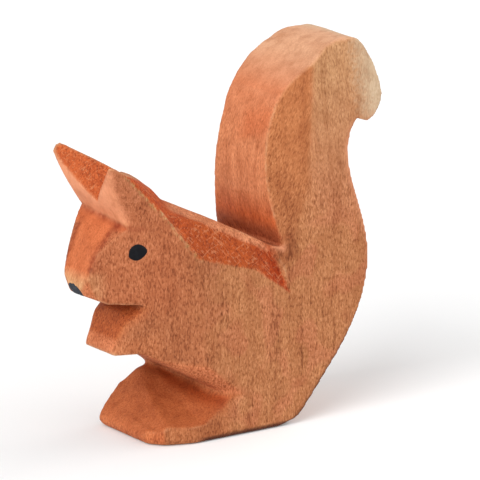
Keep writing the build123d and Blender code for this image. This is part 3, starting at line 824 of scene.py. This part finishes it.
# Outlines as angles in degrees, from the back of the eye or the left of the nose, and radii
left_eye_outline = closed_curve([
    (9, 1.66), (53, 1.48), (98, 1.56), (136, 1.58), (180, 1.60), (209, 1.76), (242, 1.66), (316, 1.42),
])
nose_outline = closed_curve([
    (-22, 2.4), (30, 1.15), (60, 0.75), (130, 1.15), (170, 2.3), (205, 1.7), (300, 1.2),
])


def right_eye_outline(angle):
    """The left eye's outline in a mirror."""
    return left_eye_outline(math.pi - angle)


EYE_X = -19.7
EYE_Y = 7.5
EYE_Z = 33.6
EYE_THICK = 0.16 * MM
NOSE_X = -27.5
NOSE_Z = 27.1
NOSE_THICK = 0.12 * MM
BACKWARD = Vector((1.0, 0.0, 0.0))
LEFTWARD = Vector((0.0, -1.0, 0.0))
eye_paint = dabbed_paint("eye_paint", (0.004, 0.004, 0.006), (0.010, 0.011, 0.014), roughness=0.50)
nose_paint = dabbed_paint("nose_paint", (0.026, 0.030, 0.038), (0.060, 0.065, 0.075), roughness=0.60)
dab("squirrel_left_eye", point(EYE_X, -EYE_Y, EYE_Z), BACKWARD, left_eye_outline, EYE_THICK,
    eye_paint, "left_eye")
dab("squirrel_right_eye", point(EYE_X, EYE_Y, EYE_Z), -BACKWARD, right_eye_outline, EYE_THICK,
    eye_paint, "right_eye")
dab("squirrel_nose", point(NOSE_X, 0.0, NOSE_Z), LEFTWARD, nose_outline, NOSE_THICK,
    nose_paint, "nose")

# Floor, a little brighter to the camera than to the light
FLOOR_HALF = 3.0
FLOOR_GREY = 0.86
FLOOR_LIFT = 0.06
floor_mesh = bpy.data.meshes.new("floor")
corner_signs = ((-1, -1), (1, -1), (1, 1), (-1, 1))
floor_corners = [(sx * FLOOR_HALF, sy * FLOOR_HALF, 0.0) for sx, sy in corner_signs]
floor_mesh.from_pydata(floor_corners, [], [(0, 1, 2, 3)])
floor = bpy.data.objects.new("floor", floor_mesh)
bpy.context.scene.collection.objects.link(floor)
paper = Nodes("floor_paper")
paper.set(Base_Color=(FLOOR_GREY, FLOOR_GREY, FLOOR_GREY, 1.0), Roughness=0.9, Specular_IOR_Level=0.0)
paper.set(Emission_Color=(1.0, 1.0, 1.0, 1.0))
to_camera = paper.add("ShaderNodeLightPath").outputs["Is Camera Ray"]
paper.link(paper.product(to_camera, FLOOR_LIFT), paper.shader.inputs["Emission Strength"])
floor_mesh.materials.append(paper.material)


def sun(name, towards, strength, softness):
    """A distant soft light that shines from a direction, with a softness in degrees."""
    data = bpy.data.lights.new(name, "SUN")
    data.energy = strength
    data.angle = math.radians(softness)
    lamp = bpy.data.objects.new(name, data)
    bpy.context.scene.collection.objects.link(lamp)
    lamp.rotation_euler = Vector(towards).to_track_quat("Z", "Y").to_euler()


# Light
sun("key", towards=(-0.80, -0.30, 0.55), strength=2.55, softness=45.0)
sun("back", towards=(0.80, -0.05, 0.50), strength=1.35, softness=50.0)
sun("fill", towards=(0.25, -0.80, 0.35), strength=0.65, softness=70.0)

# World, which is white where it is seen and dimmer as a light
SKY_LIGHT = 0.45
SKY_SEEN = 1.0
world = bpy.data.worlds.new("studio")
bpy.context.scene.world = world
world.use_nodes = True
sky = world.node_tree
background = sky.nodes["Background"]
background.inputs["Color"].default_value = (1.0, 1.0, 1.0, 1.0)
paths = sky.nodes.new("ShaderNodeLightPath")
seen = sky.nodes.new("ShaderNodeMath")
seen.operation = "MAXIMUM"
sky.links.new(paths.outputs["Is Camera Ray"], seen.inputs[0])
sky.links.new(paths.outputs["Is Glossy Ray"], seen.inputs[1])
strength = sky.nodes.new("ShaderNodeMapRange")
strength.inputs["To Min"].default_value = SKY_LIGHT
strength.inputs["To Max"].default_value = SKY_SEEN
sky.links.new(seen.outputs["Value"], strength.inputs["Value"])
sky.links.new(strength.outputs["Result"], background.inputs["Strength"])

# Camera
camera_data = bpy.data.cameras.new("camera")
camera_data.lens = CAMERA_LENS
camera_data.sensor_width = CAMERA_SENSOR
camera_data.clip_end = 20.0
camera = bpy.data.objects.new("camera", camera_data)
bpy.context.scene.collection.objects.link(camera)
back = Vector((
    math.sin(CAMERA_AZIMUTH) * math.cos(CAMERA_ELEVATION),
    -math.cos(CAMERA_AZIMUTH) * math.cos(CAMERA_ELEVATION),
    math.sin(CAMERA_ELEVATION),
))
camera.location = CAMERA_TARGET + back * CAMERA_DISTANCE
camera.rotation_euler = back.to_track_quat("Z", "Y").to_euler()
bpy.context.scene.camera = camera
bpy.context.scene.view_settings.view_transform = "Standard"
